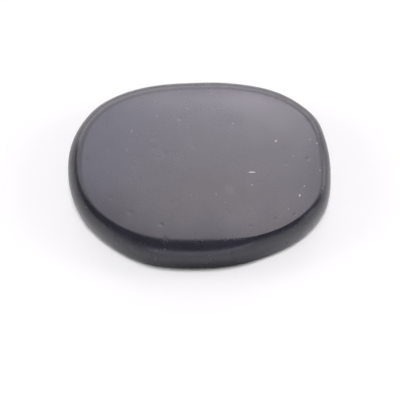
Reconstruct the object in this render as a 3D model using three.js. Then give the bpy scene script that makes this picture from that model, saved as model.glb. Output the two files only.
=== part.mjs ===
// A basalt massage stone: one solid, tumble-polished pebble with gently domed faces and a fully rounded edge.
// Units are millimetres. +X runs along the stone, +Y across it and +Z up through its thickness.
// The origin lies under the middle of the stone, on the worn flat that it rests on.

import * as THREE from 'three';
import { ParametricGeometry } from 'three/addons/geometries/ParametricGeometry.js';

// Overall size
const LENGTH = 80;
const WIDTH = 61;
const THICKNESS = 18;

// Outline seen from above: an oval between an ellipse and a rectangle, and slightly uneven like any pebble
const OUTLINE_SQUARENESS = 2.35; // exponent of the oval: 2 is an ellipse, and more is squarer
const OUTLINE_LOBES = 0.015; // three soft bulges, as a share of the radius
const FOUR_LOBES = 0.005; // four fainter ones, on both ovals, which make the two ends differ

// The smaller and squarer oval where the rounded edge would turn level with a face
const FACE_LENGTH = 70;
const FACE_WIDTH = 47.6;
const FACE_SQUARENESS = 2.75;
const FACE_LOBES = - 0.008; // its own soft bulges, slighter than the outline's and turned the other way
const FACE_SHIFT = new THREE.Vector2( 0.9, 0.1 ); // makes the edge a little narrower at the +X end

// Section through the thickness
const DOME_RISE = 0.9; // how far a face's even dome falls from its middle to its rim
const RIM_FALL = 0.5; // how far it falls besides, close to the rim
const RIM_POWER = 6; // how closely that fall keeps to the rim: a higher power keeps it closer
const REST_SHARE = 0.6; // the part of the underside, counted from its middle outwards, that is worn flat
const RIM_ANGLE = THREE.MathUtils.degToRad( 9 ); // slope at which the rounded edge meets a face

// Facets
const AROUND = 80;
const EDGE_STEPS = 16; // an even number, so that one ring lies on the outline itself
const FACE_STEPS = 6;
const REST_STEPS = 2;

const FULL_TURN = 2 * Math.PI;

// How far a full face has fallen at a share of the way from its middle to its rim.
const faceFall = ( share ) => DOME_RISE * share ** 2 + RIM_FALL * share ** RIM_POWER;

// The edge's vertical half-axis is what the thickness leaves beside the top face and the flattened lower one.
const RESTING_FALL = faceFall( 1 ) - faceFall( REST_SHARE );
const EDGE_HEIGHT = ( THICKNESS - faceFall( 1 ) - RESTING_FALL ) / 2 / Math.cos( RIM_ANGLE );
const MIDDLE_HEIGHT = EDGE_HEIGHT * Math.cos( RIM_ANGLE ) + RESTING_FALL;
const RIM_CLIMB = Math.PI / 2 - RIM_ANGLE;

// An uneven oval with a half-length of 1, before it is trimmed to a length and a width.
function roughOval( angle, across, squareness, lobes ) {

	const cos = Math.cos( angle );
	const sin = Math.sin( angle );
	const reach = Math.abs( cos ) ** squareness + Math.abs( sin / across ) ** squareness;
	const unevenness = 1 + lobes * Math.sin( 3 * angle ) - FOUR_LOBES * Math.sin( 4 * angle );
	return new THREE.Vector2( cos, sin ).multiplyScalar( unevenness * reach ** ( - 1 / squareness ) );

}

// An oval of a given size about a centre, as a function of the angle.
function trimmedOval( length, width, squareness, lobes, centre ) {

	const roughAt = ( angle ) => roughOval( angle, width / length, squareness, lobes );
	const roughBox = new THREE.Box2().setFromPoints(
		Array.from( { length: AROUND }, ( _, i ) => roughAt( FULL_TURN * i / AROUND ) )
	);
	const roughCentre = roughBox.getCenter( new THREE.Vector2() );
	const trim = new THREE.Vector2( length, width ).divide( roughBox.getSize( new THREE.Vector2() ) );
	return ( angle ) => roughAt( angle ).sub( roughCentre ).multiply( trim ).add( centre );

}

const outlineAt = trimmedOval( LENGTH, WIDTH, OUTLINE_SQUARENESS, OUTLINE_LOBES, new THREE.Vector2() );
const faceAt = trimmedOval( FACE_LENGTH, FACE_WIDTH, FACE_SQUARENESS, FACE_LOBES, FACE_SHIFT );

// How far a point of the edge has moved from the outline towards the face's oval, from 0 to 1.
// climb is the angle round the edge: 0 at its middle, and a right angle where it would turn level.
function faceShare( climb ) {

	return 1 - Math.cos( climb );

}

// Rings of the section, from the middle of the underside round the edge to the middle of the top.
// share scales a ring towards the middle, and height is above the flat that the stone rests on.
function sectionRings() {

	const rings = [];

	for ( let i = 0; i < REST_STEPS; i ++ ) {

		rings.push( { share: REST_SHARE * i / REST_STEPS, climb: RIM_CLIMB, height: 0 } );

	}

	for ( let i = 0; i < FACE_STEPS; i ++ ) {

		const share = THREE.MathUtils.lerp( REST_SHARE, 1, i / FACE_STEPS );
		rings.push( { share, climb: RIM_CLIMB, height: faceFall( share ) - faceFall( REST_SHARE ) } );

	}

	for ( let i = 0; i <= EDGE_STEPS; i ++ ) {

		const climb = RIM_CLIMB * ( 2 * i / EDGE_STEPS - 1 );
		rings.push( { share: 1, climb, height: MIDDLE_HEIGHT + EDGE_HEIGHT * Math.sin( climb ) } );

	}

	for ( let i = FACE_STEPS - 1; i >= 0; i -- ) {

		const share = i / FACE_STEPS;
		rings.push( { share, climb: RIM_CLIMB, height: THICKNESS - faceFall( share ) } );

	}

	return rings;

}

function stoneGeometry() {

	const rings = sectionRings();
	const lastRing = rings.length - 1;

	const surfacePoint = ( u, v, target ) => {

		const angle = FULL_TURN * u;
		const { share, climb, height } = rings[ Math.round( v * lastRing ) ];
		const point = outlineAt( angle ).lerp( faceAt( angle ), faceShare( climb ) ).multiplyScalar( share );
		target.set( point.x, point.y, height );

	};

	return new ParametricGeometry( surfacePoint, AROUND, lastRing );

}

function stone() {

	const material = new THREE.MeshStandardMaterial( { color: 0x36353d, roughness: 0.38, metalness: 0 } );
	const mesh = new THREE.Mesh( stoneGeometry(), material );
	mesh.name = 'stone';
	return mesh;

}

const massageStone = new THREE.Group();
massageStone.add( stone() );

export default massageStone;
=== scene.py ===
import math
import random

import bpy
import numpy as np
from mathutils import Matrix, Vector, kdtree, noise


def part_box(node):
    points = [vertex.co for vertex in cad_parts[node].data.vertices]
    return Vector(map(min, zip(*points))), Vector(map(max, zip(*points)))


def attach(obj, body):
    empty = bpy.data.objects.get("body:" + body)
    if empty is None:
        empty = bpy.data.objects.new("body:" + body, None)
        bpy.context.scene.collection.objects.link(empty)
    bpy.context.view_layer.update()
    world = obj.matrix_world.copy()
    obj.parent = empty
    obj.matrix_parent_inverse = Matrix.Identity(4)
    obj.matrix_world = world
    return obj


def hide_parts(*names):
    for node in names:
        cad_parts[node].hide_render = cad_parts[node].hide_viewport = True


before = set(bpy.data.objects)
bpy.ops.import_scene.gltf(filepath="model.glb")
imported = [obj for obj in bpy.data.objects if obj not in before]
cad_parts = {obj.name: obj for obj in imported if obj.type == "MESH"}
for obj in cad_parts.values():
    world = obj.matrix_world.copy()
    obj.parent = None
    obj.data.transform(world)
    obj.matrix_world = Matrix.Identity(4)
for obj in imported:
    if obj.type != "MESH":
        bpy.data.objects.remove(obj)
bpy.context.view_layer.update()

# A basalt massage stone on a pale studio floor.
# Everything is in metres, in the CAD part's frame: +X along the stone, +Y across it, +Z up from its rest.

MM = 0.001

# ---------------------------------------------------------------------------------------------------------
# The stone's shape: the same section and ovals as the CAD solid, with the worn places of a tumbled pebble
# ---------------------------------------------------------------------------------------------------------

low_corner, high_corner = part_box("stone")
LENGTH, WIDTH, THICKNESS = high_corner - low_corner

DOME_RISE = 0.9 * MM  # how far a face's even dome falls from its middle to its rim
RIM_FALL = 0.5 * MM  # how far it falls besides, close to the rim
RIM_POWER = 6  # how closely that fall keeps to the rim
REST_SHARE = 0.6  # the part of the underside, from its middle outwards, that is worn flat
RIM_ANGLE = math.radians(9)  # slope at which the rounded edge meets a face


def face_fall(share):
    """How far a face has fallen at a share of the way from its middle to its rim."""
    return DOME_RISE * share**2 + RIM_FALL * share**RIM_POWER


RESTING_FALL = face_fall(1) - face_fall(REST_SHARE)
EDGE_HEIGHT = (THICKNESS - face_fall(1) - RESTING_FALL) / 2 / math.cos(RIM_ANGLE)
MIDDLE_HEIGHT = EDGE_HEIGHT * math.cos(RIM_ANGLE) + RESTING_FALL

# The plan outline: an oval between an ellipse and a rectangle, and slightly uneven like any pebble
OUTLINE_SQUARENESS = 2.35  # exponent of the oval: 2 is an ellipse, and more is squarer
OUTLINE_LOBES = 0.015  # three soft bulges, as a share of the radius
FOUR_LOBES = 0.005  # four fainter ones, on both ovals, which make the two ends differ

# The smaller and squarer oval where the edge would turn level with a face
FACE_LENGTH = 70.0 * MM
FACE_WIDTH = 47.6 * MM
FACE_SQUARENESS = 2.75
FACE_SHIFT = (0.9 * MM, 0.1 * MM)
FACE_LOBES = -0.008

# Where wear has left the outline and the faces' rim fuller or flatter than their ovals: the direction and
# spread in degrees, and how far it stands out there
OUTLINE_CORNERS = (
    (12, 9, -0.25 * MM),
    (24, 7, 0.4 * MM),
    (62, 14, -0.35 * MM),
    (146, 7, 0.3 * MM),
    (150, 18, -0.35 * MM),
    (180, 15, 0.35 * MM),
    (217, 13, -0.55 * MM),
    (243, 10, 0.3 * MM),
    (309, 15, -0.75 * MM),
    (342, 8, 0.45 * MM),
)
FACE_CORNERS = (
    (183, 12, 0.6 * MM),
    (212, 14, -0.6 * MM),
    (298, 16, 0.9 * MM),
    (328, 12, -0.5 * MM),
)

FACE_CELLS = 170  # cells across each face
EDGE_CELLS = 58  # cells round the edge, from the top rim to the lower rim
OVAL_SAMPLES = 720  # points round an oval, from which its length and width are measured


def rough_oval(angle, across, squareness, lobes):
    """An uneven oval with a half-length of 1, as an array of points (n, 2)."""
    cos, sin = np.cos(angle), np.sin(angle)
    reach = np.abs(cos) ** squareness + np.abs(sin / across) ** squareness
    unevenness = 1 + lobes * np.sin(3 * angle) - FOUR_LOBES * np.sin(4 * angle)
    radius = unevenness * reach ** (-1 / squareness)
    return np.stack([cos, sin], -1) * radius[..., None]


def oval(angle, length, width, squareness, lobes):
    """The uneven oval, trimmed to a length and a width."""
    turns = np.linspace(0, math.tau, OVAL_SAMPLES, endpoint=False)
    whole = rough_oval(turns, width / length, squareness, lobes)
    low, high = whole.min(0), whole.max(0)
    trim = np.array([length, width]) / (high - low)
    return (rough_oval(angle, width / length, squareness, lobes) - (low + high) / 2) * trim


def with_corners(points, angle, corners):
    """Points of an oval, moved outwards or inwards round each of the corners."""
    away = points / np.linalg.norm(points, axis=-1, keepdims=True)
    for direction, spread, rise in corners:
        turn = (np.degrees(angle) - direction + 180) % 360 - 180
        points = points + away * (rise * np.exp(-((turn / spread) ** 2)))[..., None]
    return points


def edge_plan(angle, climb):
    """The edge's plan at a climb round it: the outline at 0, and the face's oval at 90 degrees."""
    outline = oval(angle, LENGTH, WIDTH, OUTLINE_SQUARENESS, OUTLINE_LOBES)
    face = oval(angle, FACE_LENGTH, FACE_WIDTH, FACE_SQUARENESS, FACE_LOBES) + np.array(FACE_SHIFT)
    share = 1 - math.cos(climb)
    outer = with_corners(outline, angle, OUTLINE_CORNERS) * (1 - share)
    return outer + with_corners(face, angle, FACE_CORNERS) * share


def face_points(top):
    """A square grid of points over one face, pressed from a square into the oval inside the rim."""
    side = np.linspace(-1, 1, FACE_CELLS + 1)
    u, v = np.meshgrid(side, side, indexing="ij")
    x, y = u * np.sqrt(1 - v**2 / 2), v * np.sqrt(1 - u**2 / 2)
    share, angle = np.hypot(x, y), np.arctan2(y, x)
    flat = edge_plan(angle, math.pi / 2 - RIM_ANGLE) * share[..., None]
    if top:
        height = THICKNESS - face_fall(share)
    else:
        height = np.maximum(face_fall(share) - face_fall(REST_SHARE), 0)
    return np.concatenate([flat, height[..., None]], -1)


def edge_points():
    """Rings round the edge between the two rims, starting at the top rim's corner and going anticlockwise."""
    side = np.linspace(-1, 1, FACE_CELLS + 1)[:-1]
    quarter = np.arcsin(side / math.sqrt(2))
    angle = np.concatenate([quarter + k * math.pi / 2 for k in range(4)])
    climb = (math.pi / 2 - RIM_ANGLE) * np.linspace(1, -1, EDGE_CELLS + 1)[1:-1]
    flat = np.stack([edge_plan(angle, c) for c in climb])
    height = np.repeat((MIDDLE_HEIGHT + EDGE_HEIGHT * np.sin(climb))[:, None], len(angle), 1)
    return np.concatenate([flat, height[..., None]], -1)


def rim_indices(grid):
    """The vertex numbers along a face grid's border, in the same order as the edge rings."""
    return np.concatenate([grid[-1, :-1], grid[::-1, -1][:-1], grid[0, ::-1][:-1], grid[:-1, 0]])


def stone_mesh():
    """One closed mesh of quads: a grid on each face, and rings round the edge between them."""
    top, edge, under = face_points(True), edge_points(), face_points(False)
    count = (FACE_CELLS + 1) ** 2
    top_grid = np.arange(count).reshape(FACE_CELLS + 1, FACE_CELLS + 1)
    under_grid = top_grid + count
    rings = 2 * count + np.arange(edge.shape[0] * edge.shape[1]).reshape(edge.shape[:2])
    rings = np.vstack([rim_indices(top_grid), rings, rim_indices(under_grid)])

    def quads(grid):
        return np.stack([grid[:-1, :-1], grid[1:, :-1], grid[1:, 1:], grid[:-1, 1:]], -1).reshape(-1, 4)

    closed_rings = np.hstack([rings, rings[:, :1]])
    faces = np.vstack([quads(top_grid), quads(under_grid)[:, ::-1], quads(closed_rings)])
    points = np.vstack([top.reshape(-1, 3), under.reshape(-1, 3), edge.reshape(-1, 3)])
    mesh = bpy.data.meshes.new("stone_surface")
    mesh.from_pydata(points.tolist(), [], faces.tolist())
    mesh.validate()
    return mesh


def vectors(items, name):
    """One vector of each item in a mesh's collection, as an array (n, 3)."""
    values = np.empty(len(items) * 3, np.float32)
    items.foreach_get(name, values)
    return values.reshape(-1, 3).astype(float)


# Slow swells left by hand shaping: wavelength, and height either way
SWELLS = ((26 * MM, 0.10 * MM), (9 * MM, 0.022 * MM))

# Small pits that the tumbling didn't reach: how many, their radii and their depths
PIT_SEED = 11
PITS = 70
PIT_RADIUS = (0.3 * MM, 0.7 * MM)
PIT_DEPTH = (0.03 * MM, 0.10 * MM)
PIT_SPAN = 2.5  # how many radii from its middle a pit still lowers the surface


def wear(mesh):
    """Adds the slow swells and the pits, moving each vertex along its normal. Nothing goes below the rest."""
    points, normals = vectors(mesh.vertices, "co"), vectors(mesh.vertex_normals, "vector")
    shift = np.zeros(len(points))
    for wavelength, height in SWELLS:
        shift += height * np.array([noise.noise(Vector(p) / wavelength) for p in points])
    tree = kdtree.KDTree(len(points))
    for i, p in enumerate(points):
        tree.insert(p, i)
    tree.balance()
    chance = random.Random(PIT_SEED)
    for _ in range(PITS):
        centre = points[chance.randrange(len(points))]
        radius = chance.uniform(*PIT_RADIUS)
        depth = chance.uniform(*PIT_DEPTH)
        for _, i, distance in tree.find_range(centre, PIT_SPAN * radius):
            shift[i] -= depth * math.exp(-((distance / radius) ** 2))
    points += normals * shift[:, None]
    points[:, 2] = np.maximum(points[:, 2], 0)
    mesh.vertices.foreach_set("co", points.astype(np.float32).ravel())
    mesh.update()


# ---------------------------------------------------------------------------------------------------------
# Materials
# ---------------------------------------------------------------------------------------------------------


class Graph:
    """A material's nodes, with short ways to add the ones that are used here."""

    def __init__(self, name):
        self.material = bpy.data.materials.new(name)
        self.material.use_nodes = True
        self.tree = self.material.node_tree
        self.shader = self.tree.nodes["Principled BSDF"]
        self.place = self.add("TexCoord", "Object")

    def add(self, kind, output, inputs=None, **settings):
        """Adds a node, with each input linked to a socket or set to a value, and returns one output."""
        node = self.tree.nodes.new("ShaderNode" + kind)
        for name, value in settings.items():
            setattr(node, name, value)
        for key, value in (inputs or {}).items():
            if isinstance(value, bpy.types.NodeSocket):
                self.tree.links.new(value, node.inputs[key])
            else:
                node.inputs[key].default_value = value
        return node.outputs[output]

    def finish(self, name, value):
        """Links a socket to the shader's input, or sets the input to a value."""
        if isinstance(value, bpy.types.NodeSocket):
            self.tree.links.new(value, self.shader.inputs[name])
        else:
            self.shader.inputs[name].default_value = value

    def noise(self, wavelength, detail=2.0, place=None):
        inputs = {"Vector": place or self.place, "Scale": 1 / wavelength, "Detail": detail}
        return self.add("TexNoise", "Fac", inputs)

    def cells(self, size, output, place=None):
        """Random cells of about a size: "Distance" from a cell's middle in cells, or its random "Color"."""
        return self.add("TexVoronoi", output, {"Vector": place or self.place, "Scale": 1 / size})

    def ramp(self, value, start, end, low=0.0, high=1.0, smooth=False):
        """Low where the value is start, high where it is end, and between the two in between."""
        inputs = {"Value": value, "From Min": start, "From Max": end, "To Min": low, "To Max": high}
        kind = "SMOOTHSTEP" if smooth else "LINEAR"
        return self.add("MapRange", "Result", inputs, interpolation_type=kind)

    def math(self, operation, a, b=0.0):
        return self.add("Math", 0, {0: a, 1: b}, operation=operation)

    def colours(self, share, first, second):
        """The first colour, turning to the second as the share goes from 0 to 1."""
        return self.add("Mix", 2, {0: share, 6: first, 7: second}, data_type="RGBA")


def grey(value, tint=(1.0, 1.0, 1.0)):
    return (*(value * part for part in tint), 1.0)


BASALT_TINT = (0.97, 0.93, 1.5)  # basalt is a slightly blue grey
CREAM_TINT = (1.0, 0.93, 0.9)
GROUND_GREYS = (0.008, 0.017)  # the ground's darkest and its lightest
CRYSTAL_GREY = 0.04
MINERAL_GREY = 0.34

CLOUDS = 19 * MM
MOTTLES = 4.5 * MM
CRYSTALS = 0.42 * MM

# Small flecks: one may lie in each of these cells. Its radius is in cells.
FLECK_CELLS = 2.6 * MM
FLECK_RADII = (0.05, 0.14)
FLECK_CHANCE = (0.72, 0.76)  # of 0 to 1: cells below this range have no fleck, and cells above it have one
FLECK_STRENGTH = 0.35

POLISH = (0.245, 0.30)  # roughness where the polish is best, and where the stone has been handled
HANDLED_PATCHES = 11 * MM
MINERAL_DULLNESS = 0.2
BASALT_IOR = 1.6

WAVES = 3.2 * MM
WAVE_HEIGHT = 0.012 * MM
CRYSTAL_RELIEF = 0.035  # as a share of the waves' height

# Pale mineral inclusions that stand out on the top face, in millimetres from the middle:
# x, y, half-length, half-width, turn in degrees, and the mineral's share of their colour
INCLUSIONS = (
    (15.5, -4, 1.15, 0.28, 0, 1.0),
    (23, 6.5, 0.44, 0.38, 20, 0.85),
    (29.5, -11.5, 0.30, 0.55, 0, 0.8),
    (28, 1.5, 0.35, 0.35, 0, 0.25),
    (35.5, 6, 0.40, 0.50, 0, 0.35),
    (8.5, -9.5, 1.60, 2.20, 35, 0.04),
    (-3.5, 18, 0.60, 0.60, 0, 0.08),
    (-20.5, 10.5, 0.45, 0.90, 0, 0.10),
    (-14.5, 7, 0.80, 0.50, 10, 0.07),
    (-22, 4, 0.50, 0.70, 0, 0.08),
    (-27.5, 4, 0.40, 0.80, 0, 0.06),
)
INCLUSION_DEPTH = 4 * MM  # how far down an inclusion reaches from the top
INCLUSION_FADE = (1.15, 0.55)  # shares of its reach: where it begins, and where it is at full strength


def inclusion(graph, x, y, half_length, half_width, turn, strength):
    """How much of a placed inclusion there is at a point: a soft oval spot that reaches a little way down."""
    reach = (half_length * MM, half_width * MM, INCLUSION_DEPTH)
    inputs = {
        "Vector": graph.place,
        "Location": (x * MM, y * MM, THICKNESS),
        "Rotation": (0, 0, math.radians(turn)),
        "Scale": reach,
    }
    local = graph.add("Mapping", "Vector", inputs, vector_type="TEXTURE")
    distance = graph.add("VectorMath", "Value", {0: local}, operation="LENGTH")
    return graph.ramp(distance, *INCLUSION_FADE, 0.0, strength, smooth=True)


def basalt_material():
    """Polished basalt: a cloudy blue-black ground of fine crystals with sparse pale mineral flecks."""
    graph = Graph("polished_basalt")
    clouds = graph.noise(CLOUDS)
    mottles = graph.noise(MOTTLES, 3.0)
    crystal = graph.cells(CRYSTALS, "Color")
    crystal_tone = graph.add("SeparateColor", 0, {0: crystal})

    ground_mix = graph.math("ADD", graph.math("MULTIPLY", clouds, 0.6), graph.math("MULTIPLY", mottles, 0.4))
    darkest, lightest = (grey(value, BASALT_TINT) for value in GROUND_GREYS)
    ground = graph.colours(graph.ramp(ground_mix, 0.36, 0.64), darkest, lightest)
    crystals = graph.ramp(crystal_tone, 0.72, 1.0, 0.0, 0.15)
    grained = graph.colours(crystals, ground, grey(CRYSTAL_GREY, BASALT_TINT))

    cell = graph.cells(FLECK_CELLS, "Color")
    chance = graph.add("SeparateColor", 0, {0: cell})
    size = graph.add("SeparateColor", 1, {0: cell})
    nearness = graph.cells(FLECK_CELLS, "Distance")
    radius = graph.ramp(size, 0.0, 1.0, *FLECK_RADII)
    grain = graph.ramp(graph.math("DIVIDE", nearness, radius), 1.0, 0.5, 0.0, FLECK_STRENGTH, smooth=True)
    fleck = graph.math("MULTIPLY", grain, graph.ramp(chance, *FLECK_CHANCE))

    pale = fleck
    for spot in INCLUSIONS:
        pale = graph.math("MAXIMUM", pale, inclusion(graph, *spot))
    graph.finish("Base Color", graph.colours(pale, grained, grey(MINERAL_GREY, CREAM_TINT)))

    # The polish is duller over the mineral grains and in faint patches where the stone has been handled
    handled = graph.ramp(graph.noise(HANDLED_PATCHES, 3.0), 0.4, 0.7, *POLISH)
    rubbed = graph.math("ADD", handled, graph.ramp(crystal_tone, 0.0, 1.0, -0.01, 0.01))
    graph.finish("Roughness", graph.math("ADD", rubbed, graph.math("MULTIPLY", pale, MINERAL_DULLNESS)))
    graph.finish("IOR", BASALT_IOR)

    # Relief: a faint waviness from polishing, and the crystal grain
    relief = graph.math("ADD", graph.noise(WAVES), graph.math("MULTIPLY", crystal_tone, CRYSTAL_RELIEF))
    inputs = {"Height": relief, "Distance": WAVE_HEIGHT, "Strength": 1.0}
    graph.finish("Normal", graph.add("Bump", "Normal", inputs))
    return graph.material


FLOOR_GREY = 0.9
FLOOR_ROUGHNESS = 0.4
FLOOR_SPECULAR = 0.2


def floor_material():
    graph = Graph("pale_floor")
    graph.finish("Base Color", grey(FLOOR_GREY))
    graph.finish("Roughness", FLOOR_ROUGHNESS)
    graph.finish("Specular IOR Level", FLOOR_SPECULAR)
    return graph.material


# ---------------------------------------------------------------------------------------------------------
# The piece
# ---------------------------------------------------------------------------------------------------------

surface = stone_mesh()
wear(surface)
surface.shade_smooth()
stone = bpy.data.objects.new("polished_stone", surface)
bpy.context.scene.collection.objects.link(stone)
surface.materials.append(basalt_material())
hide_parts("stone")
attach(stone, "root")

# ---------------------------------------------------------------------------------------------------------
# Studio: a pale floor that sweeps up into a low wall all round, soft lights and the camera
# ---------------------------------------------------------------------------------------------------------

FLOOR_HOLE = 0.0001  # a hole in the middle, too small to see, that keeps the floor's faces four-sided
FLOOR_RING = 0.3
FLOOR_RADIUS = 1.3
SWEEP_RADIUS = 0.4
SWEEP_STEPS = 24
FLOOR_SIDES = 96


def turned_surface(name, profile, material):
    """A surface of revolution about Z, from a profile of (radius, height) points that goes outwards."""
    points, faces = [], []
    for radius, height in profile:
        for k in range(FLOOR_SIDES):
            turn = math.tau * k / FLOOR_SIDES
            points.append((radius * math.cos(turn), radius * math.sin(turn), height))
    for ring in range(len(profile) - 1):
        inner, outer = ring * FLOOR_SIDES, (ring + 1) * FLOOR_SIDES
        for k in range(FLOOR_SIDES):
            beside = (k + 1) % FLOOR_SIDES
            faces.append((inner + k, outer + k, outer + beside, inner + beside))
    mesh = bpy.data.meshes.new(name)
    mesh.from_pydata(points, [], faces)
    mesh.shade_smooth()
    mesh.materials.append(material)
    turned = bpy.data.objects.new(name, mesh)
    bpy.context.scene.collection.objects.link(turned)
    return turned


def studio_floor():
    material = floor_material()
    turned_surface("studio_floor", [(FLOOR_HOLE, 0), (FLOOR_RING, 0), (FLOOR_RADIUS, 0)], material)
    turns = [math.pi / 2 * i / SWEEP_STEPS for i in range(SWEEP_STEPS + 1)]
    rise = [(FLOOR_RADIUS + SWEEP_RADIUS * math.sin(t), SWEEP_RADIUS * (1 - math.cos(t))) for t in turns]
    sweep = turned_surface("studio_sweep", rise, material)
    sweep.visible_glossy = False
    sweep.visible_shadow = False


# Painted shade: a dark card on the floor, under the stone and in front of it, that stands in for the floor's
# shade near the stone. Only reflections see it, and the lower part of the near edge mirrors it as a dark
# reflection.
SHADE_CARD_REACH = (40 * MM, 42.5 * MM)
SHADE_CARD_SHIFT = 10 * MM
SHADE_CARD_FADE = 0.45  # the share of its radius over which it fades out
SHADE_CARD_DARKNESS = 0.9
SHADE_CARD_HEIGHT = 0.2 * MM
SHADE_CARD_GREY = 0.01
SHADE_CARD_ROUGHNESS = 0.9


def mirrored_shade_card():
    """The dark card of painted shade, which only reflections see."""
    graph = Graph("painted_shade_card")
    graph.finish("Base Color", grey(SHADE_CARD_GREY))
    graph.finish("Roughness", SHADE_CARD_ROUGHNESS)
    # The painted shade is darkest over the card's middle and fades out over its outer part
    fade = graph.add("TexGradient", "Fac", {"Vector": graph.place}, gradient_type="SPHERICAL")
    graph.finish("Alpha", graph.ramp(fade, 0, SHADE_CARD_FADE, 0, SHADE_CARD_DARKNESS))
    turns = [math.tau * k / FLOOR_SIDES for k in range(FLOOR_SIDES)]
    mesh = bpy.data.meshes.new("mirrored_shade_card")
    mesh.from_pydata([(math.cos(t), math.sin(t), 0) for t in turns], [], [tuple(range(FLOOR_SIDES))])
    mesh.materials.append(graph.material)
    shade_card = bpy.data.objects.new("mirrored_shade_card", mesh)
    shade_card.location = (0, -SHADE_CARD_SHIFT, SHADE_CARD_HEIGHT)
    shade_card.scale = (*SHADE_CARD_REACH, 1)
    shade_card.visible_camera = False
    shade_card.visible_diffuse = False
    shade_card.visible_shadow = False
    bpy.context.scene.collection.objects.link(shade_card)


# The lights' colours. The mirrored ones are a faint violet, and a few are bluer or warmer than the rest.
LIGHT_TINT = (1.0, 0.94, 1.035)
FLOOR_TINT = (1.0, 0.985, 1.0)
BLUE_TINT = (0.98, 0.94, 1.17)
COOL_TINT = (0.88, 0.93, 1.22)
WARM_TINT = (1.1, 0.97, 0.9)


def above(elevation, side=0.0):
    """The direction at an elevation over the far side of the stone, turned sideways. 180 is the near side."""
    e, s = math.radians(elevation), math.radians(side)
    return Vector((math.sin(s), math.cos(s) * math.cos(e), math.cos(s) * math.sin(e)))


def soft_light(name, place, facing, size, brightness, tint=LIGHT_TINT, shape="RECTANGLE"):
    """A soft light facing back along a direction. brightness is its surface's, where lit white paper is 1."""
    data = bpy.data.lights.new(name, "AREA")
    data.shape = shape
    data.size, data.size_y = size
    area = size[0] * size[1] * (math.pi / 4 if shape == "ELLIPSE" else 1)
    data.energy = brightness * math.pi * area
    data.color = tint
    light = bpy.data.objects.new(name, data)
    light.location = place
    light.rotation_mode = "QUATERNION"
    light.rotation_quaternion = facing.to_track_quat("Z", "Y")
    light.visible_camera = False
    bpy.context.scene.collection.objects.link(light)
    return light


CAMERA_ELEVATION = 64.2
CAMERA_AZIMUTH = -0.7
CAMERA_DISTANCE = 0.44
CAMERA_LENS = 129.6
CAMERA_SENSOR = 36
CAMERA_CLIP = (0.01, 20)
STONE_ABOVE_CENTRE = 8.1 * MM  # how far above the picture's middle the stone sits


def studio_camera():
    data = bpy.data.cameras.new("camera")
    data.lens = CAMERA_LENS
    data.sensor_width = CAMERA_SENSOR
    data.clip_start, data.clip_end = CAMERA_CLIP
    camera = bpy.data.objects.new("camera", data)
    bpy.context.scene.collection.objects.link(camera)
    e, a = math.radians(CAMERA_ELEVATION), math.radians(CAMERA_AZIMUTH)
    back = Vector((math.sin(a) * math.cos(e), -math.cos(a) * math.cos(e), math.sin(e)))
    up = Vector((-math.sin(a) * math.sin(e), math.cos(a) * math.sin(e), math.cos(e)))
    middle = Vector((0, 0, THICKNESS / 2))
    camera.location = middle + back * CAMERA_DISTANCE
    aim = middle - up * STONE_ABOVE_CENTRE
    camera.rotation_mode = "QUATERNION"
    camera.rotation_quaternion = (camera.location - aim).to_track_quat("Z", "Y")
    bpy.context.scene.camera = camera


# The softbox that the top face mirrors: panels beyond the stone, side by side or one behind another, in
# planes 1 m away and a little more. Each one's left, right, bottom and top edges in metres from the middle
# of its plane, and its brightness
SOFTBOX_ELEVATION = 57.6
SOFTBOX_LAYER = 2 * MM  # from one panel's plane to the next. In the same plane they would hide each other.
SOFTBOX = {
    "softbox": (-0.3, 1.8, -0.70, 0.45, 1.98),
    "softbox_left": (-1.8, -0.3, -0.70, 0.45, 1.80),
    "softbox_top": (-1.1, 0.9, 0.45, 0.84, 0.9),
    "softbox_top_middle": (-0.25, 0.28, 0.45, 0.84, 1.2),
    "softbox_high": (-0.1, 0.22, 0.22, 0.68, 0.45),
    "softbox_bottom": (-1.8, 1.8, -0.70, -0.35, 0.1),
    "softbox_right": (0.9, 1.8, -0.70, 0.45, 0.1),
}

# Round lights 1 m from the stone: elevation, side, half of the angle it fills, brightness and tint
ROUND_LIGHTS = {
    "far_low": (41, 0, 10, 2.3, LIGHT_TINT),
    "far_left": (54, -14, 13, 1.35, COOL_TINT),
    "far_middle": (56, 2, 9, 1.0, LIGHT_TINT),
    "far_right": (51, 11, 10, 3.2, LIGHT_TINT),
    "high_middle": (70, 2, 10, 1.0, WARM_TINT),
    "overhead": (82, 13, 9, 1.0, WARM_TINT),
    "high_right": (68, 18, 10, 0.8, LIGHT_TINT),
    "left_end": (20, -72, 10, 0.2, LIGHT_TINT),
    "right_end": (20, 72, 13, 3.0, LIGHT_TINT),
    "side_right": (98, 56, 9, 1.2, LIGHT_TINT),
    "near_right": (168, 66, 8, 2.0, LIGHT_TINT),
}

# Long low strips 1 m from the stone: elevation, width, height, brightness and tint
STRIPS = {
    "far_strip": (11, 2.6, 0.40, 3.0, LIGHT_TINT),
    "near_strip": (169, 0.9, 0.32, 0.95, BLUE_TINT),
}

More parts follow.
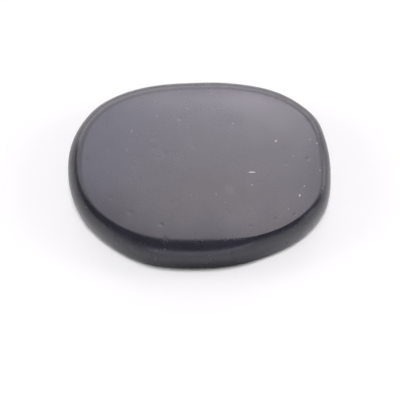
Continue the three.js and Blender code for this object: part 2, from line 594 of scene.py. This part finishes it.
# Lights for the floor and the stone's own colour: elevation, side, size and brightness
WASH_DISTANCE = 1.5
WASHES = {
    "wash_near": (106, 0, 0.3, 60.0),
    "wash_left": (90, -55, 0.5, 4.5),
    "wash_right": (90, 55, 0.5, 4.5),
}

# A large slanted disc that faces the stone from the near side. The floor hides its lower part.
TABLE_ELEVATION = 225
TABLE_DISTANCE = 0.3
TABLE_SIZE = (1.5, 1.5)
TABLE_BRIGHTNESS = 0.3

WORLD_BRIGHTNESS = 0.17


def studio_lights():
    """The softbox, round lights and strips are seen only in reflections. The washes only light surfaces."""
    facing = above(SOFTBOX_ELEVATION)
    rise = above(SOFTBOX_ELEVATION + 90)
    mirrored = []
    for layer, (name, (left, right, bottom, top, brightness)) in enumerate(SOFTBOX.items()):
        middle = Vector(((left + right) / 2, 0, 0)) + rise * (bottom + top) / 2
        place = facing * (1 + layer * SOFTBOX_LAYER) + middle
        mirrored.append(soft_light(name, place, facing, (right - left, top - bottom), brightness))
    for name, (elevation, side, half_angle, brightness, tint) in ROUND_LIGHTS.items():
        across = 2 * math.tan(math.radians(half_angle))
        place = above(elevation, side)
        mirrored.append(soft_light(name, place, place, (across, across), brightness, tint, "ELLIPSE"))
    for name, (elevation, width, height, brightness, tint) in STRIPS.items():
        place = above(elevation)
        mirrored.append(soft_light(name, place, place, (width, height), brightness, tint))
    below = above(TABLE_ELEVATION)
    table = soft_light("table", below * TABLE_DISTANCE, below, TABLE_SIZE, TABLE_BRIGHTNESS, shape="ELLIPSE")
    mirrored.append(table)
    for light in mirrored:
        light.visible_diffuse = False
    for name, (elevation, side, size, brightness) in WASHES.items():
        place = above(elevation, side)
        wash = soft_light(name, place * WASH_DISTANCE, place, (size, size), brightness, FLOOR_TINT)
        wash.visible_glossy = False

    world = bpy.data.worlds.new("studio_world")
    world.use_nodes = True
    background = world.node_tree.nodes["Background"]
    background.inputs["Color"].default_value = (*FLOOR_TINT, 1)
    background.inputs["Strength"].default_value = WORLD_BRIGHTNESS
    bpy.context.scene.world = world
    bpy.context.scene.view_settings.view_transform = "Standard"


studio_floor()
mirrored_shade_card()
studio_lights()
studio_camera()
